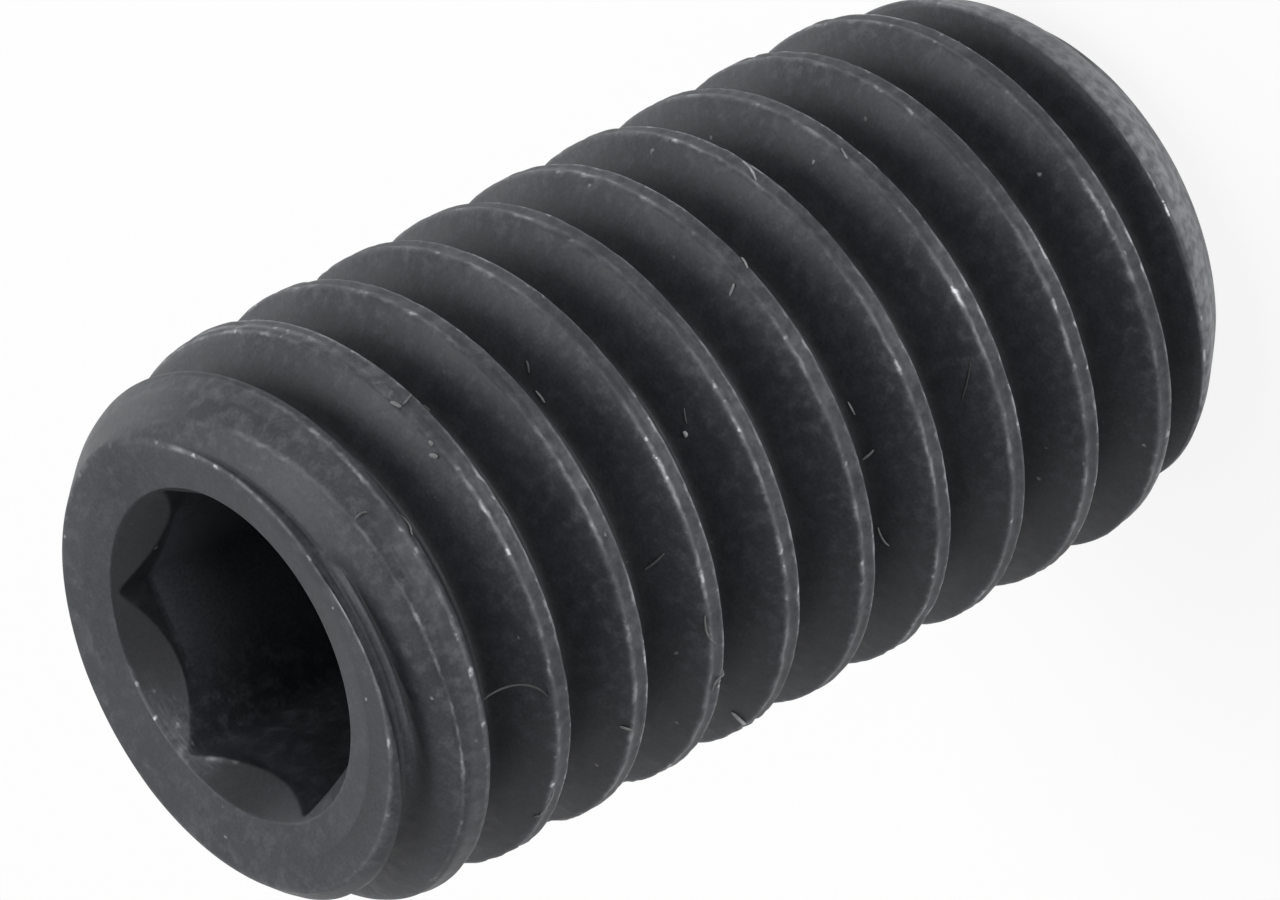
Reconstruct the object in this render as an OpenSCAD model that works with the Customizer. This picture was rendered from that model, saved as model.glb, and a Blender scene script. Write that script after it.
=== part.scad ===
// Headless set screw with a hexagon socket and a flat point.
// It stands on its point: the origin is the centre of the point and +Z runs up to the socket.
// Flats of the socket face the +Y and -Y sides. All sizes are in millimetres.

/* [Thread] */
// Diameter over the thread crests
major_d = 5.885; // [5.7:0.005:6.2]
// Distance from one turn to the next
pitch = 1; // [0.95:0.05:1.5]
// Depth from crest to root
thread_depth = 0.613; // [0.4:0.001:0.66]
// Width of the flat land on each crest
crest_w = 0.186; // [0.05:0.002:0.24]
// Angle between the two flanks of a groove
flank_angle = 60; // [50:1:62]
// How much deeper the middle of the rolled root lies than its edges
root_sag = 0.03; // [0:0.005:0.06]
// Distance of the first crest below the socket end, on the +X side
crest_drop = 0.565; // [0:0.005:1]

/* [Body] */
// Length over all
screw_l = 11.1; // [6:0.1:25]
// Outside diameter of the flat ring at the socket end
face_d = 4.84; // [4.6:0.01:5.2]
// Slope of the socket end's chamfer, from the axis
face_chamfer = 40; // [25:1:50]
// Length of that chamfer
face_chamfer_l = 0.42; // [0.2:0.01:0.5]
// Slope of the low first crest beyond that chamfer, from the axis
face_taper = 11; // [8:0.5:20]
// Diameter of the flat point
point_d = 4.44; // [3.5:0.02:5.2]
// Slope of the point's chamfer, from the axis
point_chamfer = 42; // [25:1:50]
// Length of that chamfer
point_chamfer_l = 0.47; // [0.2:0.01:0.6]
// Slope of the low last crest beyond that chamfer, from the axis
point_taper = 19; // [10:0.5:25]

/* [Socket] */
// Size across the flats of the hexagon
socket_af = 3; // [2:0.05:3.3]
// Depth of the flats below the socket end
socket_depth = 3.5; // [2:0.1:4.5]
// Included angle of the drilled bottom
drill_angle = 118; // [90:1:140]
// Reach of the countersink's rim past the corners of the hexagon
mouth_margin = 0.03; // [0:0.01:0.1]
// Included angle of the countersink
mouth_angle = 68; // [50:1:90]
// Width of the shallow dish around the countersink
dish_w = 0.33; // [0.1:0.01:0.36]
// Depth of the dish at the countersink's rim
dish_depth = 0.06; // [0.03:0.005:0.2]

/* [Hidden] */

// Sides of a hexagon, straight steps in one turn of the thread, steps of a round cut
hex_sides = 6;
turn_steps = 48;
round_steps = 96;
full_turn = 360;
// How far a cutting shape runs past the surface that it cuts
over = 0.2;

major_r = major_d / 2;
root_r = major_r - thread_depth;
flank_w = thread_depth * tan(flank_angle / 2);
root_w = pitch - crest_w - 2 * flank_w;
corner_r = socket_af / 2 / cos(full_turn / hex_sides / 2);
mouth_r = corner_r + mouth_margin;
dish_r = mouth_r + dish_w;

// One pitch of the thread, as [radius, height from the crest's middle], from root to root.
// The last point is left out, because it is the first point of the next turn.
thread_profile = [
    [root_r - root_sag, -pitch / 2],
    [root_r, -pitch / 2 + root_w / 2],
    [major_r, -crest_w / 2],
    [major_r, crest_w / 2],
    [root_r, pitch / 2 - root_w / 2]
];
edges = len(thread_profile);

// The rod starts a turn and a half below the point and ends past the socket end
turns = ceil(screw_l / pitch) + 3;
rod_steps = turns * turn_steps;
rod_z = screw_l - crest_drop - (turns - 1) * pitch;

// A point on a helical edge, a number of steps along the rod
function helix_point(edge, step) =
    let (r = thread_profile[edge][0], turn = step / turn_steps)
    [
        r * cos(full_turn * turn),
        r * sin(full_turn * turn),
        rod_z + pitch * turn + thread_profile[edge][1]
    ];

// Index of that point: the root edge runs one turn further than the others
function at(edge, step) =
    edge == edges ? at(0, step + turn_steps)
    : edge == 0 ? step
    : rod_steps + turn_steps + 1 + (edge - 1) * (rod_steps + 1) + step;

// Threaded rod, longer than the screw, with a plain helical cap at each end
module threaded_rod() {
    low_centre = at(edges - 1, rod_steps) + 1;
    high_centre = low_centre + 1;
    points = concat(
        [for (step = [0 : rod_steps + turn_steps]) helix_point(0, step)],
        [for (edge = [1 : edges - 1], step = [0 : rod_steps]) helix_point(edge, step)],
        [[0, 0, rod_z - pitch], [0, 0, rod_z + (turns + 1) * pitch]]
    );
    strip = [
        for (edge = [0 : edges - 1], step = [0 : rod_steps - 1])
        for (side = [0, 1])
        side == 0
        ? [at(edge, step), at(edge + 1, step), at(edge, step + 1)]
        : [at(edge, step + 1), at(edge + 1, step), at(edge + 1, step + 1)]
    ];
    low_cap = concat(
        [for (step = [0 : turn_steps - 1]) [low_centre, at(0, step), at(0, step + 1)]],
        [for (edge = [0 : edges - 1]) [low_centre, at(edge + 1, 0), at(edge, 0)]]
    );
    high_cap = concat(
        [
            for (step = [rod_steps : rod_steps + turn_steps - 1])
            [high_centre, at(0, step + 1), at(0, step)]
        ],
        [
            for (edge = [0 : edges - 1])
            [high_centre, at(edge, rod_steps), at(edge + 1, rod_steps)]
        ]
    );
    polyhedron(points, concat(strip, low_cap, high_cap), convexity = 10);
}

// Turned blank: it is wider than the thread between its ends, and cuts both ends to shape
module chamfered_blank() {
    wide_r = major_r + over;
    point_r = point_d / 2;
    point_edge_r = point_r + point_chamfer_l * tan(point_chamfer);
    face_r = face_d / 2;
    face_edge_r = face_r + face_chamfer_l * tan(face_chamfer);
    rotate_extrude($fn = round_steps)
        polygon([
            [0, 0],
            [point_r, 0],
            [point_edge_r, point_chamfer_l],
            [wide_r, point_chamfer_l + (wide_r - point_edge_r) / tan(point_taper)],
            [wide_r, screw_l - face_chamfer_l - (wide_r - face_edge_r) / tan(face_taper)],
            [face_edge_r, screw_l - face_chamfer_l],
            [face_r, screw_l],
            [0, screw_l]
        ]);
}

// A cone that narrows downwards from a rim, carried on past the rim
module rim_cut(rim_r, rim_z, slope) {
    rise = over / tan(slope);
    depth = rim_r / tan(slope);
    translate([0, 0, rim_z - depth])
        cylinder(h = depth + rise, r1 = 0, r2 = rim_r + over, $fn = round_steps);
}

// Everything that is cut out of the socket end
module socket_space() {
    drill_depth = socket_af / 2 / tan(drill_angle / 2);
    dish_slope = atan(dish_w / dish_depth);
    translate([0, 0, screw_l - socket_depth])
        cylinder(h = socket_depth + over, r = corner_r, $fn = hex_sides);
    translate([0, 0, screw_l - socket_depth - drill_depth])
        cylinder(h = drill_depth + over, r1 = 0, r2 = socket_af / 2
            + over * tan(drill_angle / 2), $fn = round_steps);
    rim_cut(mouth_r, screw_l - dish_depth, mouth_angle / 2);
    rim_cut(dish_r, screw_l, dish_slope);
}

// The whole screw, rolled and blacked
module set_screw() {
    color([0.2, 0.2, 0.21])
        difference() {
            intersection() {
                threaded_rod();
                chamfered_blank();
            }
            socket_space();
        }
}

set_screw();
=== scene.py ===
"""Looks of a black socket set screw that stands on its flat point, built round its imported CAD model."""
import math
from collections import namedtuple

import bmesh
import bpy
import numpy as np
from mathutils import Matrix, Vector


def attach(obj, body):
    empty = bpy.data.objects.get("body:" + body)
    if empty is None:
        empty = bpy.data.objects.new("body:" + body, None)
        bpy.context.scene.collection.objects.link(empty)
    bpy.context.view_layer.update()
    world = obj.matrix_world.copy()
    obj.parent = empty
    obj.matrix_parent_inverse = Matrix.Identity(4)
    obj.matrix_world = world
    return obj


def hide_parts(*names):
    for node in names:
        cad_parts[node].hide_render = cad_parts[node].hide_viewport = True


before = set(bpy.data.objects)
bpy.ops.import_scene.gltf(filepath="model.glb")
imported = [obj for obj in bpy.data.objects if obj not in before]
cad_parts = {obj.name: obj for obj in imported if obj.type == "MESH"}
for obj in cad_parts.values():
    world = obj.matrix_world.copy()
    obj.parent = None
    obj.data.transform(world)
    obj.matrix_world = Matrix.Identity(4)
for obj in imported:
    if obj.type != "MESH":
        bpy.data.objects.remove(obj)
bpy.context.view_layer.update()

# Every size below is in millimetres, and the meshes are scaled to metres as they are made
MM = 0.001

# Sizes of the screw, as in its CAD node, but for the point's flat, which is 0.03 mm larger
LENGTH = 11.1
PITCH = 1.0
MAJOR_R = 2.9425
THREAD_DEPTH = 0.613
CREST_W = 0.186
FLANK_HALF = math.radians(30)
CREST_DROP = 0.565
FACE_R = 2.42
FACE_CHAMFER_L = 0.42
FACE_CHAMFER = math.radians(40)
FACE_TAPER = math.radians(11)
POINT_R = 2.25
POINT_CHAMFER_L = 0.47
POINT_CHAMFER = math.radians(42)
POINT_TAPER = math.radians(19)
HEX_HALF = 1.5
HEX_CORNER_R = 1.715
SOCKET_DEPTH = 3.5
DRILL_DEPTH = 0.9
MOUTH_R = 1.762
MOUTH_SLOPE = math.radians(34)
DISH_R = 2.092
DISH_DEPTH = 0.06

# Roundings of the rolled surface and its edges, and the cuts across an end's rounding as shares of it
CREST_ROUND = 0.05
ROOT_ROUND = 0.20
ROOT_SAG = 0.02
CHAMFER_ROUND = 0.08
HEX_ROUND = 0.012
END_ROUND = 0.022
END_CUTS = (1.0, 0.62, 0.32, 0.1)
END_INSET = 0.035

# Unevenness of the seam on each crest, of its lips and of the flanks, with the spacing of its waves
SKIN_SEED = 11
SEAM_DEPTH = 0.022
SEAM_HALF = 0.04
SEAM_UNEVEN = 0.5
SEAM_SPACING = 0.8
LIP_WAVE = 0.007
LIP_SPACINGS = (0.35, 0.12)
LIP_DRIFT = 0.004
DRIFT_REACH = 0.2
DRIFT_SPACINGS = (1.1, 0.3, 0.1)
FLANK_WAVE = 0.003
FLANK_SPACING = 0.6

# The socket end's chamfer sits a little off the thread's axis
FACE_SHIFT = (-0.043, -0.024)

# Where the groove runs out into the socket end its root is deeper and sharper, and further down it
# has a ridge and a fine fold beside it; both are placed from the groove's middle
RUNOUT_START = 0.15
RUNOUT_L = 0.33
RUNOUT_WIDER = 0.2
RUNOUT_DEEPER = 0.075
RUNOUT_SHARPER = 0.75
RUNOUT_SHIFT = 0.03
FOLD_START = 0.08
FOLD_L = 0.14
FOLD_DEPTH = 0.10
FOLD = (-0.13, 0.034)
RIDGE = (-0.060, 0.042)
RIDGE_H = 0.065
# The ridge is made paler with painted light, and the fold darker with painted shade
RIDGE_LIT = 2.2

# Shading values that the mesh carries: distance from the cut at which its edge has no effect, how
# far the crests are rubbed bare, the point's chamfer made to shine as painted reflection of the pale
# ground, and painted shade in the socket and on the run-out's root; each fade starts and ends at a
# distance
FAR_FROM_CUT = 0.1
LAND_POLISH = 0.045
LAND_FADE = (-0.11, -0.06)
# The point's chamfer is made to shine toward bare steel as painted reflection of the pale ground
POINT_SHEEN = 0.31
POINT_FADE = (-0.01, 0.02)
LOWER_FADE = (0, 0.04)
# Painted shade in the socket's countersink, and on its wall and drilled bottom
CONE_SHADE = 1.1
WALL_SHADE = 0.6
# Painted shade on the root where a groove runs out into the socket end
RUNOUT_ROOT_SHADE = 0.4
BOTTOM_FADE = (-0.07, -0.01)
LIP_AT = 0.072
LIP_WIDTH = 0.040
LOWER_LIP_SHIFT = 0.02
UPPER_LIP_RUB = 0.7
LOWER_LIP_RUB = 1.3
EDGE_WIDTH = 0.032
EDGE_WEAR = 0.7
RAGGED = 0.008

# Wear, painted highlight, painted shade and painted light round the socket end and the crests, as
# its strength, the azimuth of its middle and its half width in degrees; what is given as one value
# is the same all round
RIM_WEAR = (0.9, 160, 16)
SCALLOP_WEAR = (0.9, -173, 6)
CORNER_WEAR = (1.0, 172, 14)
# Less painted shade in the countersink round azimuth -112 and on its lit side, and painted light on the
# socket's wall round azimuth 115
CONE_PALE = (0.6, -112, 26)
CONE_LIT = (0.35, 75, 35)
WALL_LIT = (1.5, 115, 60)
# Wear on the socket end's rounded edge and cut edges, strongest toward the camera, where part of it is
# painted highlight
FACE_EDGE_WEAR_AND_HIGHLIGHT = (0.9, -5, 65)
CUT_WEAR_AND_HIGHLIGHT = (0.9, -30, 50)
# Painted highlight on the crests round azimuth -24, and painted shade on them round azimuth 1
CREST_HIGHLIGHT = (0.8, -24, 9)
CREST_DULLED = (0.8, 1, 16)
# Painted highlight on the point's edge round azimuth -28
POINT_EDGE_HIGHLIGHT = (1.3, -28, 7)
# The point's painted reflection is duller round azimuth 22
POINT_DULL = (0.5, 22, 22)
# Painted shade on the flat ring round azimuth -85 and painted light round 32; the fade makes its outer
# strip lighter and its inner edge darker
RING_SHADE = (0.6, -85, 50)
RING_LIT = (0.2, 32, 35)
RING_FADE = 0.2
# The shallow dish is a little darker
DISH_DARKER = 0.35
FAINT = 0.08
SCALLOP_HALF = 0.02

# Lint on the thread. Each fibre starts at an azimuth and height, and runs on over the skin with a
# length, a heading (0 goes round the screw, 90 up it) and a bend, which is how far the heading turns.
# Its paleness lies between 0 and 1 and is partly painted light, higher on fibres that the lamps light
# less, and a short thick one is a grain of dust
FIBRE_STEPS = 13
FIBRE_SIDES = 6
FIBRE_LIFT = 0.015
FIBRE_TAPER = 0.5
FIBRE_ACROSS = (0.3, 0.2, 1.0)
Fibre = namedtuple("Fibre", "azimuth height length heading bend radius pale")
FIBRES = [
    Fibre(-54.0, 10.24, 0.85, -70, -75, 0.012, 0.06),
    Fibre(-11.5, 10.12, 0.40, 135, 20, 0.012, 0.3),
    Fibre(-59.5, 7.48, 0.42, 160, 70, 0.012, 0.3),
    Fibre(-93.0, 9.41, 0.48, -25, 30, 0.012, 0.7),
    Fibre(-79.0, 7.33, 0.38, 30, -190, 0.012, 0.5),
    Fibre(-77.7, 8.48, 0.08, -45, -90, 0.014, 0.6),
    Fibre(20.5, 4.52, 0.32, 178, -30, 0.013, 0.8),
    Fibre(-49.0, 7.78, 0.22, -30, -5, 0.012, 0.15),
    Fibre(-104.0, 6.45, 0.12, -110, -20, 0.022, 1.0),
    Fibre(-4.0, 5.72, 0.08, -45, 0, 0.014, 0.7),
    Fibre(2.0, 9.42, 0.18, -25, 5, 0.010, 0.15),
    Fibre(4.0, 7.92, 0.12, -15, 0, 0.012, 0.15),
    Fibre(-1.7, 5.46, 0.14, -30, 30, 0.012, 0.6),
    Fibre(9.5, 3.64, 0.15, -15, -5, 0.012, 0.5),
    Fibre(-36.0, 4.85, 0.18, 175, 20, 0.011, 0.4),
    Fibre(-51.0, 4.84, 0.14, -25, -10, 0.014, 0.3),
    Fibre(-70.0, 4.74, 0.26, 170, 50, 0.011, 0.35),
    Fibre(-38.0, 3.60, 0.43, 165, 5, 0.008, 0.05),
    Fibre(-20.0, 6.77, 0.17, 150, 40, 0.009, 0.12),
    Fibre(-24.5, 6.83, 0.06, 180, 0, 0.024, 0.8),
    Fibre(0.0, 7.95, 0.18, 175, 10, 0.013, 0.4),
    Fibre(7.5, 9.68, 0.12, 180, 30, 0.022, 0.35),
    Fibre(5.5, 9.62, 0.17, -75, 10, 0.013, 0.3),
    Fibre(-5.5, 9.69, 0.08, 190, 20, 0.028, 0.4),
    Fibre(-3.5, 9.65, 0.05, 180, 0, 0.020, 0.4),
    Fibre(-9.5, 10.73, 0.13, -60, -60, 0.012, 0.2),
]

# Colours of the oxide, its bare edges, its dust and the lint; the deep colour is the oxide in painted
# shade, with some grime
OXIDE_DARK = (0.0214, 0.0228, 0.0270)
OXIDE_LIGHT = (0.0306, 0.0325, 0.0372)
# The pale colour serves for pale mottle, and where the shade value is below 0 for painted light
OXIDE_PALE_AND_LIT = (0.066, 0.070, 0.079)
OXIDE_SHADE_AND_DIRT = (0.0115, 0.0120, 0.0140)
BARE_STEEL = (0.49, 0.50, 0.53)
SPECK = (0.24, 0.24, 0.25)
LINT = (0.04, 0.04, 0.04)
LINT_PALE = (0.42, 0.42, 0.43)

# Noise in the materials, as clouds to the millimetre and their detail, and where a pattern is made of
# it, also the range that counts and what that range becomes
Pattern = namedtuple("Pattern", "scale detail low high to_low to_high")
MOTTLE = (7.0, 6.0)
GRAIN = (30.0, 3.0)
CLOUDS = Pattern(1.1, 3.0, 0.3, 0.7, 0.0, 1.0)
RAGGED_EDGE = Pattern(12.0, 3.0, 0.3, 0.7, -RAGGED, RAGGED)
STREAKS = Pattern(4.5, 4.0, 0.46, 0.70, 0.14, 0.62)
STRETCHES = Pattern(1.1, 3.0, 0.36, 0.62, 0.35, 1.0)
SPARKS = Pattern(6.5, 3.0, 0.60, 0.71, 0.0, 1.0)
PATCHES = Pattern(8.0, 5.0, 0.32, 0.68, 0.5, 1.45)
UNEVEN_LINT = Pattern(9.0, 3.0, 0.3, 0.7, 0.6, 1.0)

# Places of the two colours and of the result among the sockets of a Mix node
MIX_COLOURS = (6, 7)
MIX_RESULT = 2

# Ranges of a shading value, and what they become
CUT_KEEPS_LIP = (-0.012, 0.0, 1.0, 0.0)
MOTTLE_TO_PALE = (0.42, 0.74, 0.0, 0.8)
# Painted shade, with some grime in the grooves, hides the pale mottle and turns the oxide deep
SHADE_HIDES_PALE = (0.0, 0.7, 1.0, 0.35)
# Below 0 the same value is painted light, which also hides the mottle and turns the oxide pale
LIT_HIDES_PALE = (-0.6, -0.1)
SHADE_TO_DEEP = (0.12, 1.45)
LIT_TO_PALE = (-1.0, 0.0, 1.0, 0.0)
GRAIN_TO_POWDER = (0.25, 0.75, 0.74, 1.16)
WORN_TO_METAL = (0.0, 1.0, 0.0, 0.9)
MOTTLE_TO_ROUGHNESS = (0.3, 0.7, 0.44, 0.56)

# Specks of dust: how many to the millimetre, how their outline is shaken, how far each one reaches
# and which of them are kept
SPECKS_PER_MM = 2.6
SHAKES_PER_MM = 25.0
SHAKE = 0.06
SPECK_REACH = (0.02, 0.075, 1.0, 0.0)
SPECKS_KEPT = (0.35, 0.8)

# Sheen and fine relief of the surfaces
OXIDE_SPECULAR = 0.25
BUMP_STRENGTH = 0.5
BUMP_DEPTH = 0.006
BUMP_GRAIN = 0.4
LINT_ROUGHNESS = 0.8
LINT_SPECULAR = 0.2

# Resolution of the meshes, and how many turns the rod has beyond the screw's own, in all and above
TURN_STEPS = 216
FACE_STEPS = 360
POINT_STEPS = 180
SPARE_TURNS = 3
TURNS_ABOVE = 2
DISH_RINGS = 6
CONE_RINGS = 34
WALL_RINGS = 7
POINT_RINGS = 6

# Points across half a turn of the thread: steps from the crest's middle to the lip's inside, its
# outside, the root and the groove's middle, and in the run-out places by the lip, then even steps.
# Places by the lip are shares of half the crest's width
LIP_INSIDE = 0.7
LIP_OUTSIDE = 1.4
ROOT_FROM = 0.8
PROFILE_STEPS = (2, 4, 5, 4)
RUNOUT_NEAR = (0, 0.7, 1, 1.5, 2.7)
EVEN_FROM = 0.3
EVEN_STEPS = 11

# Places of the rings of both ends: gaps beside an edge, depths of the countersink's first rings below
# its rim, the shares of its depth at which it ends and the plain wall starts, and the socket's foot
RING_GAP = 0.02
DISH_GAP = 0.01
RIM_GAP = 0.006
RIM_RISE = 0.001
RIM_WEAR_DEPTH = 0.02
CONE_FIRST = (0.008, 0.03)
CONE_START = 0.045
CONE_END = 1.08
WALL_START = 1.3
WALL_END = 0.06
FOOT_ROUND = 0.015
DRILL_SHARES = (0.97, 0.7, 0.4, 0.12)
TIP_DROP = 0.05
POINT_RING_GAP = 0.15
POINT_LAST_R = 0.1

# How near to a level a cut vertex counts as on it, for the cut itself and for the edge that it leaves
ON_CUT = 1e-6
ON_RIM = 1e-4

# Random wear in the countersink: spacing of its waves along the depth and round it
SOCKET_SEED = 5
STREAK_SPACING = 0.10
FINE_SPACING = 0.06
FINE_SHARE = 0.5


def smooth_min(a, b, width):
    """The smaller of a and b, rounded where they meet."""
    share = np.clip(0.5 + 0.5 * (b - a) / width, 0, 1)
    return b * (1 - share) + a * share - width * share * (1 - share)


def smooth_max(a, b, width):
    """The larger of a and b, rounded where they meet."""
    return -smooth_min(-a, -b, width)


def wave(rng, x, spacing):
    """A smooth random line between -1 and 1, with a new value every spacing along x."""
    knots = rng.uniform(-1, 1, int(np.ptp(x) / spacing) + 3)
    at = (x - x.min()) / spacing
    low = at.astype(int)
    share = at - low
    share = share * share * (3 - 2 * share)
    return knots[low] * (1 - share) + knots[low + 1] * share


def waves(rng, x, spacings):
    """The sum of smooth random lines, one for each spacing."""
    return sum(wave(rng, x, spacing) for spacing in spacings)


def profile_half(spread_out):
    """Places from the crest's middle to the groove's: close at the lip, or spread out for the folds."""
    lip = CREST_W / 2
    if spread_out:
        near = [lip * share for share in RUNOUT_NEAR]
        return np.concatenate([near, np.linspace(EVEN_FROM, PITCH / 2, EVEN_STEPS)])
    root = PITCH / 2 - ROOT_ROUND * ROOT_FROM
    marks = [0, lip * LIP_INSIDE, lip * LIP_OUTSIDE, root, PITCH / 2]
    parts = [
        np.linspace(low, high, steps, endpoint=False)
        for low, high, steps in zip(marks[:-1], marks[1:], PROFILE_STEPS)
    ]
    return np.concatenate([*parts, marks[-1:]])


def profile_positions(below, above):
    """Places across each turn, from the run-out's share in the groove below the crest and above it."""
    plain, dense = profile_half(False)[None], profile_half(True)[None]
    low = plain * (1 - below) + dense * below
    high = plain * (1 - above) + dense * above
    return np.concatenate([-low[:, ::-1], high[:, 1:-1]], 1)


def runout_share(groove_z):
    """1 where a groove runs out into the socket end, and 0 further down."""
    return 1 - step_up(LENGTH - groove_z, RUNOUT_START, RUNOUT_L)


def step_up(x, low, high):
    """Rises smoothly from 0 at low to 1 at high."""
    share = np.clip((x - low) / (high - low), 0, 1)
    return share * share * (3 - 2 * share)


def hump(s, place):
    """A hump between 0 and 1 beside the groove's middle; its place and half width are given."""
    middle, half = place
    off = s - np.where(s > 0, 0.5, -0.5) * PITCH
    return np.exp(-((off - middle) / half) ** 2)


def thread_radius(s, seam, lips, runout, fold):
    """Radius of the rolled thread at a distance s from the crest's middle."""
    steepness = (1 + RUNOUT_WIDER * runout) / math.tan(FLANK_HALF)
    out = np.abs(s) + RUNOUT_SHIFT * runout * (s < -PITCH / 4)
    flank = MAJOR_R - (out - CREST_W / 2) * steepness
    land = MAJOR_R - seam * np.exp(-(s / SEAM_HALF) ** 2) - lips
    root = MAJOR_R - THREAD_DEPTH - ROOT_SAG - RUNOUT_DEEPER * runout
    root_round = ROOT_ROUND / 2 * (1 - RUNOUT_SHARPER * runout)
    thread = smooth_max(smooth_min(flank, land, CREST_ROUND), root, root_round)
    return thread + fold * (RIDGE_H * hump(s, RIDGE) - FOLD_DEPTH * hump(s, FOLD))


def groove_shade_and_dirt(thread, runout):
    """Painted shade, with some grime, by how deep in the groove a place lies; in the run-out only the
    root itself counts.
    """
    depth = (MAJOR_R - thread) / THREAD_DEPTH
    root = MAJOR_R - THREAD_DEPTH - RUNOUT_DEEPER
    # painted shade on the run-out's root
    bottom = RUNOUT_ROOT_SHADE * step_up(root - thread, *BOTTOM_FADE)
    return np.clip(depth, 0, 1) * (1 - runout) + bottom * runout


def round_place(angle, place):
    """Strength of wear at an angle, where it is given with its azimuth and half width."""
    strength, azimuth, half = place
    off = (np.degrees(angle) - azimuth + 180) % 360 - 180
    return strength * np.exp(-(off / half) ** 2)


def two_slopes(depth, r, first_l, first, second):
    """Radius at a depth below an end: a chamfer of one slope, then a shallower one."""
    steep = r + depth * math.tan(first)
    shallow = r + first_l * math.tan(first) + (depth - first_l) * math.tan(second)
    return smooth_min(steep, shallow, CHAMFER_ROUND)


def end_radius(angle, z):
    """Radius to which the two ends are cut at height z."""
    top = two_slopes(LENGTH - z, FACE_R, FACE_CHAMFER_L, FACE_CHAMFER, FACE_TAPER)
    top = top + FACE_SHIFT[0] * np.cos(angle) + FACE_SHIFT[1] * np.sin(angle)
    bottom = two_slopes(z, POINT_R, POINT_CHAMFER_L, POINT_CHAMFER, POINT_TAPER)
    return np.minimum(top, bottom)


def threaded_skin():
    """Points, quads and shading values of a threaded rod with chamfers, longer than the screw."""
    rng = np.random.default_rng(SKIN_SEED)
    turns = int(LENGTH / PITCH) + SPARE_TURNS
    steps = np.arange(turns * TURN_STEPS + 1)
    start = LENGTH - CREST_DROP - (turns - TURNS_ABOVE) * PITCH
    angle = (2 * math.pi * steps / TURN_STEPS)[:, None]
    crest_z = start + PITCH * steps[:, None] / TURN_STEPS
    below, above = runout_share(crest_z - PITCH / 2), runout_share(crest_z + PITCH / 2)
    s = profile_positions(below, above)
    z = crest_z + s
    along = angle[:, 0] * MAJOR_R
    lips = LIP_WAVE * waves(rng, along, LIP_SPACINGS)[:, None] ** 2
    seam = SEAM_DEPTH * (1 + SEAM_UNEVEN * wave(rng, along, SEAM_SPACING))[:, None]
    drift = LIP_DRIFT * waves(rng, along, DRIFT_SPACINGS)[:, None]
    runout = np.where(s > 0, above, below)
    fold = runout * step_up(LENGTH - (crest_z + PITCH / 2), FOLD_START, FOLD_L) * (s > 0)
    thread = thread_radius(s + drift * np.exp(-(s / DRIFT_REACH) ** 2), seam, lips, runout, fold)
    ends = end_radius(angle, z)
    ripple = np.stack([wave(rng, along, FLANK_SPACING) for _ in s[0]], 1)
    r = smooth_min(thread, ends, CHAMFER_ROUND) + FLANK_WAVE * (ripple - 1)
    r = np.minimum(r, MAJOR_R)
    shading = {
        "across": np.abs(s + drift) - LOWER_LIP_SHIFT * (s < 0),
        "cut": np.clip(thread - ends, -FAR_FROM_CUT, FAR_FROM_CUT),
        # painted shade deep in the grooves, with some grime, and in the run-out's fold, with painted
        # light on its ridge
        "shade_and_dirt": groove_shade_and_dirt(thread, runout) * (thread < ends)
        + fold * (hump(s, FOLD) - RIDGE_LIT * hump(s, RIDGE)),
        "lower": step_up(-s, *LOWER_FADE) * (z > LENGTH / 2)
        * (MAJOR_R - end_radius(angle, crest_z) > 0),
        **skin_wear(angle, s, z, thread - ends),
    }
    points = np.stack([r * np.cos(angle), r * np.sin(angle), z], 2)
    return points.reshape(-1, 3), skin_quads(*s.shape), shading


def skin_wear(angle, s, z, past_cut):
    """How bright the skin is scuffed on the crests and the point, and how scuffed its lips and edges are,
    with painted highlight and shade on the crests and edges by azimuth and painted reflection on the
    point's chamfer.
    """
    # painted highlight on the crests toward the camera, and painted shade beside it
    bare_and_lit = 1 + round_place(angle, CREST_HIGHLIGHT) - round_place(angle, CREST_DULLED)
    # painted reflection of the pale ground on the point's chamfer, duller round azimuth 22
    point = POINT_SHEEN * (1 - round_place(angle, POINT_DULL)) * step_up(past_cut, *POINT_FADE)
    land = LAND_POLISH * bare_and_lit * step_up(-np.abs(s), *LAND_FADE)
    rubbed_and_lit = bare_and_lit * np.where(s > 0, UPPER_LIP_RUB, LOWER_LIP_RUB)
    # painted highlight on the point's edge
    rubbed_and_lit = rubbed_and_lit + round_place(angle, POINT_EDGE_HIGHLIGHT) * (z < PITCH)
    return {
        "polish_and_sheen": point * (z < LENGTH / 2) + land,
        # near the socket end the cut edges are worn, with painted highlight toward the camera
        "rubbed_and_lit": np.where(z > LENGTH - PITCH, FAINT + round_place(angle, CUT_WEAR_AND_HIGHLIGHT), rubbed_and_lit),
    }


def skin_quads(rows, across):
    """Quads between the rows of points along the thread, and between each turn and the next."""
    index = np.arange(rows * across).reshape(rows, across)
    body = np.stack([index[:-1, :-1], index[1:, :-1], index[1:, 1:], index[:-1, 1:]], -1)
    low = index[:-TURN_STEPS - 1, -1]
    low_next = index[1:-TURN_STEPS, -1]
    high = index[TURN_STEPS:-1, 0]
    high_next = index[TURN_STEPS + 1:, 0]
    seam_quads = np.stack([low, low_next, high_next, high], -1)
    return np.concatenate([body.reshape(-1, 4), seam_quads])


def new_mesh(name, points, faces):
    """A mesh from points in millimetres."""
    mesh = bpy.data.meshes.new(name)
    mesh.from_pydata([tuple(p) for p in points], [], [tuple(f) for f in faces])
    mesh.update()
    return mesh


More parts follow.
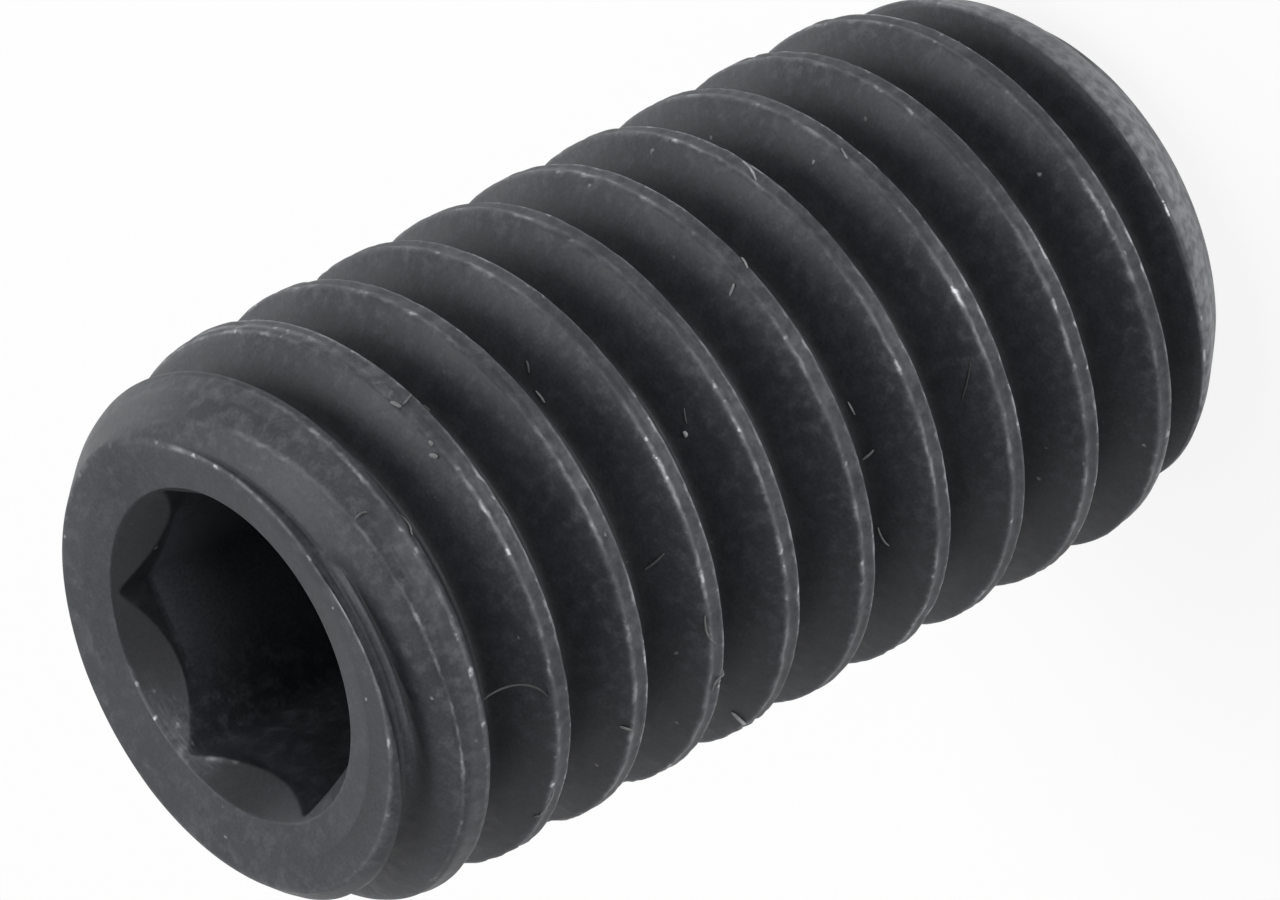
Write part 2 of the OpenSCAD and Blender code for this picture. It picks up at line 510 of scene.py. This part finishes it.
def trim(bm, height, keep_below):
    """Cuts the skin off at a height and rounds the edge that is left."""
    worn_and_lit = bm.verts.layers.float["wear_and_highlight"]
    inward = -1 if keep_below else 1
    for share in END_CUTS:
        cut_at(bm, height + inward * END_ROUND * share)
    cut_at(bm, height, clear=1 if keep_below else -1)
    for v in bm.verts:
        depth = abs(height - v.co.z)
        if depth < END_ROUND:
            rise = END_ROUND - depth
            pull = END_ROUND - math.sqrt(max(END_ROUND ** 2 - rise ** 2, 0))
            radius = math.hypot(v.co.x, v.co.y)
            v.co.x *= 1 - pull / radius
            v.co.y *= 1 - pull / radius
            # wear on the rounded edge, with painted highlight toward the camera
            around = FAINT + round_place(math.atan2(v.co.y, v.co.x), FACE_EDGE_WEAR_AND_HIGHLIGHT)
            v[worn_and_lit] = around * rise / END_ROUND


def cut_at(bm, height, clear=0):
    """Cuts the mesh along a level plane; clear 1 drops what lies above it and -1 what lies below."""
    bmesh.ops.bisect_plane(
        bm, geom=bm.verts[:] + bm.edges[:] + bm.faces[:], dist=ON_CUT,
        plane_co=(0, 0, height), plane_no=(0, 0, 1),
        clear_outer=clear == 1, clear_inner=clear == -1,
    )


def new_vertex(bm, place, wear_and_highlight=0.0, shade_and_dirt=0.0):
    """A vertex of the ends, with shading values that keep the thread's lips and cut away from it."""
    v = bm.verts.new(place)
    # the shade value is painted shade, and painted light where it is below 0
    values = {"wear_and_highlight": wear_and_highlight, "shade_and_dirt": shade_and_dirt, "cut": FAR_FROM_CUT, "across": PITCH / 2}
    for name, value in values.items():
        v[bm.verts.layers.float[name]] = value
    return v


def ring_shade_and_light(angle):
    """Painted shade on the flat ring at an angle; it is painted light where that is negative."""
    return round_place(angle, RING_SHADE) - round_place(angle, RING_LIT)


def inset_loop(bm, loop):
    """Adds a strip inside a closed loop, so that what lies further in stays flat."""
    inner = []
    for v in loop:
        share = 1 - END_INSET / v.co.xy.length
        on_top = v.co.z > LENGTH / 2
        # painted shade and light round the ring, lighter in this outer strip
        shade_and_dirt = ring_shade_and_light(math.atan2(v.co.y, v.co.x)) - RING_FADE if on_top else 0
        inner.append(new_vertex(bm, (v.co.x * share, v.co.y * share, v.co.z), shade_and_dirt=shade_and_dirt))
    for k in range(len(loop)):
        after = (k + 1) % len(loop)
        bm.faces.new((loop[k], loop[after], inner[after], inner[k]))
    return inner


def turn_of(v):
    """Angle of a vertex round the axis, from 0 to a full turn."""
    return math.atan2(v.co.y, v.co.x) % (2 * math.pi)


def rim_loop(bm, height):
    """Open edge of the skin at a height, in the order of its angle."""
    open_verts = {v for e in bm.edges if e.is_boundary for v in e.verts}
    return sorted((v for v in open_verts if abs(v.co.z - height) < ON_RIM), key=turn_of)


def zip_loops(bm, outer, inner):
    """Triangles between two closed loops round the axis that have other numbers of points."""
    a, b = [turn_of(v) for v in outer], [turn_of(v) for v in inner]
    i = j = 0
    while i < len(a) or j < len(b):
        next_a = a[i + 1] if i + 1 < len(a) else a[0] + 2 * math.pi
        next_b = b[j + 1] if j + 1 < len(b) else b[0] + 2 * math.pi
        here, there = outer[i % len(a)], inner[j % len(b)]
        if j >= len(b) or (i < len(a) and next_a <= next_b):
            bm.faces.new((here, outer[(i + 1) % len(a)], there))
            i += 1
        else:
            bm.faces.new((here, inner[(j + 1) % len(b)], there))
            j += 1


def hexagon_radius(angle):
    """Radius of the socket's wall, with its corners a little rounded."""
    off = (angle % (math.pi / 3)) - math.pi / 6
    return smooth_min(HEX_HALF / np.cos(off), HEX_CORNER_R, HEX_ROUND)


def dish_rings(angle):
    """Rings of the flat ring's inside, the shallow dish and the countersink's rim."""
    flat = np.ones(len(angle))
    # the ring's painted shade and light, darker at its inner edge
    rings = [((DISH_R + RING_GAP) * flat, LENGTH * flat, 0, ring_shade_and_light(angle) + RING_FADE)]
    slope = DISH_DEPTH / (DISH_R - MOUTH_R)
    # the dish is a little darker
    for r in np.linspace(DISH_R - DISH_GAP, MOUTH_R + RING_GAP, DISH_RINGS):
        rings.append((r * flat, (LENGTH - slope * (DISH_R - r)) * flat, 0, DISH_DARKER))
    rim_z = LENGTH - DISH_DEPTH + RIM_RISE
    rings.append(((MOUTH_R + RIM_GAP) * flat, rim_z * flat, round_place(angle, RIM_WEAR), 0))
    return rings


def cone_rings(angle, wall, cone_depth):
    """Rings of the countersink, which meets the hexagon's wall in a scallop on each flat."""
    rng = np.random.default_rng(SOCKET_SEED)
    flat = np.ones(len(angle))
    even = np.linspace(CONE_START, cone_depth * CONE_END, CONE_RINGS)
    depths = np.concatenate([CONE_FIRST, even])
    streaks = wave(rng, depths, STREAK_SPACING)
    rim_wear = round_place(angle, RIM_WEAR)
    # painted shade in the countersink, less of it on its lit side, on the worn corner and round azimuth
    # -112
    shade_and_dirt = CONE_SHADE - round_place(angle, CONE_LIT)
    shade_and_dirt = shade_and_dirt * (1 - round_place(angle, CORNER_WEAR)) * (1 - round_place(angle, CONE_PALE))
    rings = []
    for depth, streak in zip(depths, streaks):
        cone = MOUTH_R - depth * math.tan(MOUTH_SLOPE)
        scallop = round_place(angle, SCALLOP_WEAR) * np.exp(-((wall - cone) / SCALLOP_HALF) ** 2)
        fine = streak + FINE_SHARE * wave(rng, angle, FINE_SPACING)
        corner = round_place(angle, CORNER_WEAR) * np.clip(fine, 0, 1)
        rim = rim_wear if depth < RIM_WEAR_DEPTH else 0
        radius = smooth_max(wall, cone * flat, HEX_ROUND)
        z = LENGTH - DISH_DEPTH - depth
        rings.append((radius, z * flat, np.clip(scallop + corner + rim, 0, 1), shade_and_dirt))
    return rings


def wall_rings(angle, wall, cone_depth):
    """Rings of the hexagon's wall and of the drilled bottom."""
    flat = np.ones(len(angle))
    # painted shade on the wall and the drilled bottom, with painted light round azimuth 115
    shade_and_dirt = WALL_SHADE - round_place(angle, WALL_LIT)
    floor_z = LENGTH - SOCKET_DEPTH
    start = LENGTH - DISH_DEPTH - cone_depth * WALL_START
    rings = [(wall, z * flat, 0, shade_and_dirt) for z in np.linspace(start, floor_z + WALL_END, WALL_RINGS)]
    rings.append((wall - FOOT_ROUND, (floor_z + FOOT_ROUND) * flat, 0, shade_and_dirt))
    for share in DRILL_SHARES:
        rings.append((wall * share, (floor_z - DRILL_DEPTH * (1 - share)) * flat, 0, shade_and_dirt))
    return rings


def socket_rings():
    """Rings of the socket end from the flat ring inwards: radius, height, scuffing and painted shade of
    each; the shade is painted light where it is below 0.
    """
    angle = 2 * math.pi * np.arange(FACE_STEPS) / FACE_STEPS
    wall = hexagon_radius(angle)
    cone_depth = (MOUTH_R - HEX_HALF) / math.tan(MOUTH_SLOPE)
    cone = cone_rings(angle, wall, cone_depth)
    return angle, [*dish_rings(angle), *cone, *wall_rings(angle, wall, cone_depth)]


def add_rings(bm, angle, rings):
    """Adds rings of quads, closes the last with a fan, and returns the first ring's vertices."""
    loops = []
    for r, z, wear_and_highlight, shade_and_dirt in rings:
        wear_and_highlight = wear_and_highlight * np.ones(len(angle))
        shade_and_dirt = shade_and_dirt * np.ones(len(angle))
        loops.append([
            new_vertex(bm, (r[k] * math.cos(a), r[k] * math.sin(a), z[k]), wear_and_highlight[k], shade_and_dirt[k])
            for k, a in enumerate(angle)
        ])
    for one, two in zip(loops[:-1], loops[1:]):
        for k in range(len(angle)):
            after = (k + 1) % len(angle)
            bm.faces.new((one[k], one[after], two[after], two[k]))
    tip = new_vertex(bm, (0, 0, rings[-1][1][0] - TIP_DROP))
    for k in range(len(angle)):
        bm.faces.new((loops[-1][k], loops[-1][(k + 1) % len(angle)], tip))
    return loops[0]


def point_rings():
    """Rings of the flat point, from its edge to its middle."""
    angle = 2 * math.pi * np.arange(POINT_STEPS) / POINT_STEPS
    flat = np.ones(len(angle))
    radii = np.linspace(POINT_R - POINT_RING_GAP, POINT_LAST_R, POINT_RINGS)
    return angle, [(r * flat, 0 * flat, 0, 0) for r in radii]


def add_piece(name, mesh):
    """Puts a mesh into the scene as a piece of its own, with smooth shading."""
    mesh.polygons.foreach_set("use_smooth", [True] * len(mesh.polygons))
    piece = bpy.data.objects.new(name, mesh)
    bpy.context.scene.collection.objects.link(piece)
    return piece


def set_screw():
    """The whole screw as one closed mesh."""
    points, quads, shading = threaded_skin()
    mesh = new_mesh("set_screw", points, quads)
    for name, values in shading.items():
        mesh.attributes.new(name, "FLOAT", "POINT").data.foreach_set("value", values.ravel())
    mesh.attributes.new("wear_and_highlight", "FLOAT", "POINT")
    bm = bmesh.new()
    bm.from_mesh(mesh)
    trim(bm, LENGTH, keep_below=True)
    trim(bm, 0, keep_below=False)
    loose = [v for v in bm.verts if not v.link_faces]
    bmesh.ops.delete(bm, geom=loose, context="VERTS")
    top = inset_loop(bm, rim_loop(bm, LENGTH))
    zip_loops(bm, top, add_rings(bm, *socket_rings()))
    bottom = inset_loop(bm, rim_loop(bm, 0))
    zip_loops(bm, bottom, add_rings(bm, *point_rings()))
    flatten_tip(bm)
    bmesh.ops.recalc_face_normals(bm, faces=bm.faces[:])
    bm.transform(Matrix.Scale(MM, 4))
    bm.to_mesh(mesh)
    bm.free()
    return add_piece("set_screw_steel", mesh)


def flatten_tip(bm):
    """Lifts the middle of the flat point into its plane."""
    for v in bm.verts:
        v.co.z = max(v.co.z, 0)


def skin_radius(azimuth, height):
    """Radius of the screw's skin at a place, without the ripples of its lips and flanks."""
    above_crest = height - (LENGTH - CREST_DROP) - PITCH * azimuth / 360
    s = (above_crest + PITCH / 2) % PITCH - PITCH / 2
    thread = thread_radius(s, seam=0, lips=0, runout=0, fold=0)
    ends = end_radius(np.radians(azimuth), height)
    return smooth_min(thread, ends, CHAMFER_ROUND) - FLANK_WAVE


def fibre_line(fibre):
    """Points along a fibre: it lies on the skin, and is taut over what lies lower than its ends."""
    share = np.linspace(0, 1, FIBRE_STEPS)
    heading = np.radians(fibre.heading + fibre.bend * share)
    step = fibre.length / (FIBRE_STEPS - 1)
    around = step * (np.cumsum(np.cos(heading)) - math.cos(heading[0]))
    height = fibre.height + step * (np.cumsum(np.sin(heading)) - math.sin(heading[0]))
    azimuth = fibre.azimuth + np.degrees(around / MAJOR_R)
    skin = skin_radius(azimuth, height)
    taut = skin[0] * (1 - share) + skin[-1] * share
    lift = fibre.radius / 2 + FIBRE_LIFT * np.sin(math.pi * share)
    r = np.minimum(smooth_max(skin, taut, 2 * FIBRE_LIFT) + lift, MAJOR_R - fibre.radius)
    angle = np.radians(azimuth)
    return np.stack([r * np.cos(angle), r * np.sin(angle), height], 1)


def tube(line, radius):
    """Points and faces of a thin round tube along a line, tapered to both ends."""
    way = np.gradient(line, axis=0)
    way /= np.linalg.norm(way, axis=1)[:, None]
    side = np.cross(way, FIBRE_ACROSS)
    side /= np.linalg.norm(side, axis=1)[:, None]
    other = np.cross(way, side)
    turn = 2 * math.pi * np.arange(FIBRE_SIDES)[:, None, None] / FIBRE_SIDES
    along = np.linspace(-1, 1, len(line))[:, None]
    thick = radius * (1 - FIBRE_TAPER * along ** 4)
    rings = (line + thick * (side * np.cos(turn) + other * np.sin(turn))).transpose(1, 0, 2)
    index = np.arange(len(line) * FIBRE_SIDES).reshape(len(line), FIBRE_SIDES)
    after = np.roll(index, -1, axis=1)
    walls = np.stack([index[:-1], after[:-1], after[1:], index[1:]], -1).reshape(-1, 4)
    return rings.reshape(-1, 3), [*walls.tolist(), index[0, ::-1].tolist(), index[-1].tolist()]


def lint():
    """Fine fibres of lint that cling to the thread."""
    points, faces, pales = [], [], []
    for fibre in FIBRES:
        ring_points, walls = tube(fibre_line(fibre), fibre.radius)
        faces += [[len(points) + k for k in wall] for wall in walls]
        points += ring_points.tolist()
        pales += [fibre.pale] * len(ring_points)
    mesh = new_mesh("lint", points, faces)
    mesh.attributes.new("pale", "FLOAT", "POINT").data.foreach_set("value", pales)
    mesh.transform(Matrix.Scale(MM, 4))
    return add_piece("lint", mesh)


def add_node(tree, kind, inputs=None, **settings):
    """A shader node with its settings and inputs; an input is a value or another node's output."""
    made = tree.nodes.new(kind)
    for key, value in settings.items():
        setattr(made, key, value)
    for key, value in (inputs or {}).items():
        if isinstance(value, bpy.types.NodeSocket):
            tree.links.new(value, made.inputs[key])
        else:
            made.inputs[key].default_value = value
    return made


def noise(tree, where, scale, detail):
    """Soft random clouds, with a number of them in each millimetre."""
    made = add_node(tree, "ShaderNodeTexNoise", {"Vector": where, "Scale": scale, "Detail": detail})
    return made.outputs[0]


def cloudy(tree, where, pattern):
    """A pattern made of soft random clouds."""
    return spread(tree, noise(tree, where, *pattern[:2]), *pattern[2:])


def spread(tree, value, low, high, to_low=0.0, to_high=1.0):
    """A value that rises smoothly between two others as its input does."""
    inputs = {"Value": value, "From Min": low, "From Max": high, "To Min": to_low, "To Max": to_high}
    made = add_node(tree, "ShaderNodeMapRange", inputs, interpolation_type="SMOOTHSTEP")
    return made.outputs[0]


def calculate(tree, operation, a, b):
    """The sum, product or other result of two values."""
    return add_node(tree, "ShaderNodeMath", {0: a, 1: b}, operation=operation).outputs[0]


def blend(tree, share, a, b):
    """Colour a, or b where the share is 1."""
    made = add_node(tree, "ShaderNodeMix", {0: share}, data_type="RGBA")
    for place, value in zip(MIX_COLOURS, (a, b)):
        if isinstance(value, bpy.types.NodeSocket):
            tree.links.new(value, made.inputs[place])
        else:
            made.inputs[place].default_value = (*value, 1)
    return made.outputs[MIX_RESULT]


def new_material(name):
    """An empty material, with its node tree and shader."""
    material = bpy.data.materials.new(name)
    material.use_nodes = True
    tree = material.node_tree
    return material, tree, tree.nodes["Principled BSDF"]


def millimetres(tree):
    """Place on the piece, in millimetres."""
    where = add_node(tree, "ShaderNodeTexCoord").outputs["Object"]
    return add_node(tree, "ShaderNodeMapping", {"Vector": where, "Scale": (1 / MM,) * 3}).outputs[0]


def carried(tree, name):
    """A shading value that the mesh carries."""
    return add_node(tree, "ShaderNodeAttribute", attribute_name=name).outputs["Fac"]


def peak(tree, value, middle, width):
    """1 where a value is at its middle, and 0 beyond a width on both sides."""
    distance = calculate(tree, "ABSOLUTE", calculate(tree, "SUBTRACT", value, middle), 0.0)
    return spread(tree, distance, 0.0, width, 1.0, 0.0)


def worn_and_lit_share(tree, where):
    """Share of steel showing through: broken glints on lips and edges and an even scuff on the crests,
    part of it painted highlight on crests and edges by azimuth, and painted reflection on the point's
    chamfer.
    """
    cut = carried(tree, "cut")
    lower = carried(tree, "lower")
    ragged = cloudy(tree, where, RAGGED_EDGE)
    lip = peak(tree, calculate(tree, "ADD", carried(tree, "across"), ragged), LIP_AT, LIP_WIDTH)
    whole = calculate(tree, "MAXIMUM", spread(tree, cut, *CUT_KEEPS_LIP), lower)
    lip = calculate(tree, "MULTIPLY", lip, whole)
    edge = peak(tree, calculate(tree, "ADD", cut, ragged), 0.0, EDGE_WIDTH)
    edge = calculate(tree, "MULTIPLY", edge, calculate(tree, "SUBTRACT", EDGE_WEAR, lower))
    lines = calculate(tree, "MULTIPLY", calculate(tree, "MAXIMUM", lip, edge), carried(tree, "rubbed_and_lit"))
    worn_and_lit = calculate(tree, "MAXIMUM", lines, carried(tree, "wear_and_highlight"))
    glints = calculate(tree, "ADD", cloudy(tree, where, STREAKS), cloudy(tree, where, SPARKS))
    glints = calculate(tree, "MULTIPLY", glints, cloudy(tree, where, STRETCHES))
    broken = calculate(tree, "MULTIPLY", worn_and_lit, glints)
    # an even rub on the crests, and painted reflection on the point's chamfer
    rub_and_sheen = calculate(tree, "MULTIPLY", carried(tree, "polish_and_sheen"), cloudy(tree, where, PATCHES))
    return calculate(tree, "ADD", broken, rub_and_sheen)


def speck_share(tree, where):
    """Share of pale dust: small uneven specks, few and far between."""
    shaken = add_node(tree, "ShaderNodeTexNoise", {"Vector": where, "Scale": SHAKES_PER_MM}).outputs[1]
    shaken = add_node(tree, "ShaderNodeVectorMath", {0: shaken, 1: (SHAKE,) * 3, 2: where},
                      operation="MULTIPLY_ADD").outputs[0]
    cells = add_node(tree, "ShaderNodeTexVoronoi", {"Vector": shaken, "Scale": SPECKS_PER_MM})
    near = spread(tree, cells.outputs["Distance"], *SPECK_REACH)
    kept = spread(tree, cells.outputs["Color"], *SPECKS_KEPT)
    return calculate(tree, "MULTIPLY", near, kept)


def oxide_colour(tree, where, mottle, grain):
    """Colour of the oxide: cloudy and mottled, pale where dust lies on it, deeper with painted shade and
    some grime in the grooves and the socket, and paler with painted light where the shade value is below
    0.
    """
    shade_and_dirt = carried(tree, "shade_and_dirt")
    plain = blend(tree, cloudy(tree, where, CLOUDS), OXIDE_DARK, OXIDE_LIGHT)
    pale = calculate(tree, "MULTIPLY", spread(tree, mottle, *MOTTLE_TO_PALE),
                     spread(tree, shade_and_dirt, *SHADE_HIDES_PALE))
    pale = calculate(tree, "MULTIPLY", pale, spread(tree, shade_and_dirt, *LIT_HIDES_PALE))
    plain = blend(tree, pale, plain, OXIDE_PALE_AND_LIT)
    # painted shade, with some grime in the grooves, turns the oxide deep
    plain = blend(tree, spread(tree, shade_and_dirt, *SHADE_TO_DEEP), plain, OXIDE_SHADE_AND_DIRT)
    # where the shade value is below 0, painted light turns the oxide pale
    plain = blend(tree, spread(tree, shade_and_dirt, *LIT_TO_PALE), plain, OXIDE_PALE_AND_LIT)
    powder = spread(tree, grain, *GRAIN_TO_POWDER)
    powdered = add_node(tree, "ShaderNodeVectorMath", {0: plain, "Scale": powder}, operation="SCALE")
    return blend(tree, speck_share(tree, where), powdered.outputs[0], SPECK)


def black_oxide():
    """Dull black oxide on rolled steel, darker in the grooves with painted shade and some grime, and
    scuffed to steel on its edges, partly as painted highlight.
    """
    material, tree, shader = new_material("black_oxide_steel")
    where = millimetres(tree)
    mottle = noise(tree, where, *MOTTLE)
    grain = noise(tree, where, *GRAIN)
    oxide = oxide_colour(tree, where, mottle, grain)
    worn_and_lit = worn_and_lit_share(tree, where)
    tree.links.new(blend(tree, worn_and_lit, oxide, BARE_STEEL), shader.inputs["Base Color"])
    tree.links.new(spread(tree, worn_and_lit, *WORN_TO_METAL), shader.inputs["Metallic"])
    tree.links.new(spread(tree, mottle, *MOTTLE_TO_ROUGHNESS), shader.inputs["Roughness"])
    relief = {
        "Height": calculate(tree, "ADD", mottle, calculate(tree, "MULTIPLY", grain, BUMP_GRAIN)),
        "Strength": BUMP_STRENGTH,
        "Distance": BUMP_DEPTH * MM,
    }
    tree.links.new(add_node(tree, "ShaderNodeBump", relief).outputs[0], shader.inputs["Normal"])
    shader.inputs["Specular IOR Level"].default_value = OXIDE_SPECULAR
    return material


def pale_lint():
    """Dull grey fibre, a little uneven along its length, and paler by its paleness, which is partly
    painted light.
    """
    material, tree, shader = new_material("lint")
    uneven = cloudy(tree, millimetres(tree), UNEVEN_LINT)
    # the paleness is partly painted light, for fibres that the lamps light less
    share = calculate(tree, "MULTIPLY", uneven, carried(tree, "pale"))
    tree.links.new(blend(tree, share, LINT, LINT_PALE), shader.inputs["Base Color"])
    shader.inputs["Roughness"].default_value = LINT_ROUGHNESS
    shader.inputs["Specular IOR Level"].default_value = LINT_SPECULAR
    return material


# Soft lamps round the screw, as azimuth and elevation in degrees, and strength, and the angle that
# each one fills
LAMP_WIDTH = math.radians(35)
LAMPS = {
    "top_lamp": (67, 68, 1.9),
    "top_back_lamp": (157, 68, 0.7),
    "front_lamp": (-23, 8, 1.5),
    "side_lamp": (22, 8, 0.6),
    "back_lamp": (112, 8, 0.7),
    "right_lamp": (-90, 8, 0.4),
}

# Camera of the photograph, as azimuth, elevation and roll in degrees about a point of the screw
CAMERA_AZIMUTH = -22.629
CAMERA_ELEVATION = 33.662
CAMERA_ROLL = 117.26
CAMERA_DISTANCE = 160.16
CAMERA_TARGET = (-0.032, -0.034, 5.706)
CAMERA_LENS = 458.6
CAMERA_NEAR = 10
CAMERA_FAR = 10000

# The floor and the pale surroundings: how much of white the camera sees of them in place of their
# own light, and how strongly the surroundings light the screw
FLOOR_REACH = 600
FLOOR_COLOUR = (0.85, 0.85, 0.85, 1)
FLOOR_SHOWN = 0.88
WHITE = (1, 1, 1, 1)
WORLD_LIGHT = 0.15


def direction(azimuth, elevation):
    """The way that two angles in degrees point, away from the screw."""
    turn, rise = math.radians(azimuth), math.radians(elevation)
    return Vector((math.cos(turn) * math.cos(rise), math.sin(turn) * math.cos(rise), math.sin(rise)))


def make_camera():
    """Camera at the photograph's viewing angle."""
    back = direction(CAMERA_AZIMUTH, CAMERA_ELEVATION)
    turn = (-back).to_track_quat("-Z", "Y").to_matrix().to_4x4()
    roll = Matrix.Rotation(math.radians(-CAMERA_ROLL), 4, "Z")
    data = bpy.data.cameras.new("camera")
    data.lens = CAMERA_LENS
    data.clip_start = CAMERA_NEAR * MM
    data.clip_end = CAMERA_FAR * MM
    camera = bpy.data.objects.new("camera", data)
    place = (Vector(CAMERA_TARGET) + back * CAMERA_DISTANCE) * MM
    camera.matrix_world = Matrix.Translation(place) @ turn @ roll
    bpy.context.scene.collection.objects.link(camera)
    bpy.context.scene.camera = camera


def add_lamp(name, azimuth, elevation, strength):
    """A wide soft lamp, far off in a direction that is given in degrees."""
    data = bpy.data.lights.new(name, "SUN")
    data.angle = LAMP_WIDTH
    data.energy = strength
    lamp = bpy.data.objects.new(name, data)
    lamp.rotation_mode = "QUATERNION"
    lamp.rotation_quaternion = direction(azimuth, elevation).to_track_quat("Z", "Y")
    bpy.context.scene.collection.objects.link(lamp)


def shown_share(tree, strength):
    """A strength for what the camera, reflections and glass show, and 0 for what lights the screw."""
    path = add_node(tree, "ShaderNodeLightPath").outputs
    seen = calculate(tree, "MAXIMUM", path["Is Camera Ray"], path["Is Glossy Ray"])
    seen = calculate(tree, "MAXIMUM", seen, path["Is Transmission Ray"])
    return calculate(tree, "MULTIPLY", seen, strength)


def floor_paint():
    """Pale paint that keeps the screw's shadow, and shows white beside it."""
    material = bpy.data.materials.new("pale_floor")
    material.use_nodes = True
    tree = material.node_tree
    tree.nodes.clear()
    paint = add_node(tree, "ShaderNodeBsdfDiffuse", {"Color": FLOOR_COLOUR})
    white = add_node(tree, "ShaderNodeEmission", {"Color": WHITE, "Strength": 1.0})
    share = shown_share(tree, FLOOR_SHOWN)
    both = add_node(tree, "ShaderNodeMixShader", {0: share, 1: paint.outputs[0], 2: white.outputs[0]})
    add_node(tree, "ShaderNodeOutputMaterial", {"Surface": both.outputs[0]})
    return material


def make_floor():
    """Pale floor that the screw stands on."""
    reach = FLOOR_REACH
    corners = [(-reach, -reach, 0), (reach, -reach, 0), (reach, reach, 0), (-reach, reach, 0)]
    mesh = new_mesh("floor", corners, [(0, 1, 2, 3)])
    mesh.transform(Matrix.Scale(MM, 4))
    mesh.materials.append(floor_paint())
    floor = bpy.data.objects.new("floor", mesh)
    bpy.context.scene.collection.objects.link(floor)


def make_world():
    """Plain pale surroundings."""
    world = bpy.data.worlds.new("world")
    bpy.context.scene.world = world
    world.use_nodes = True
    tree = world.node_tree
    back = tree.nodes["Background"]
    share = shown_share(tree, 1.0)
    level = add_node(tree, "ShaderNodeMapRange", {"Value": share, "To Min": WORLD_LIGHT, "To Max": 1.0})
    back.inputs["Color"].default_value = WHITE
    tree.links.new(level.outputs[0], back.inputs["Strength"])


bpy.context.scene.view_settings.view_transform = "Standard"
make_camera()
make_world()
make_floor()
for name, place in LAMPS.items():
    add_lamp(name, *place)

screw = set_screw()
screw.data.materials.append(black_oxide())
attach(screw, "root")
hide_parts("set_screw")
fibres = lint()
fibres.data.materials.append(pale_lint())
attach(fibres, "root")
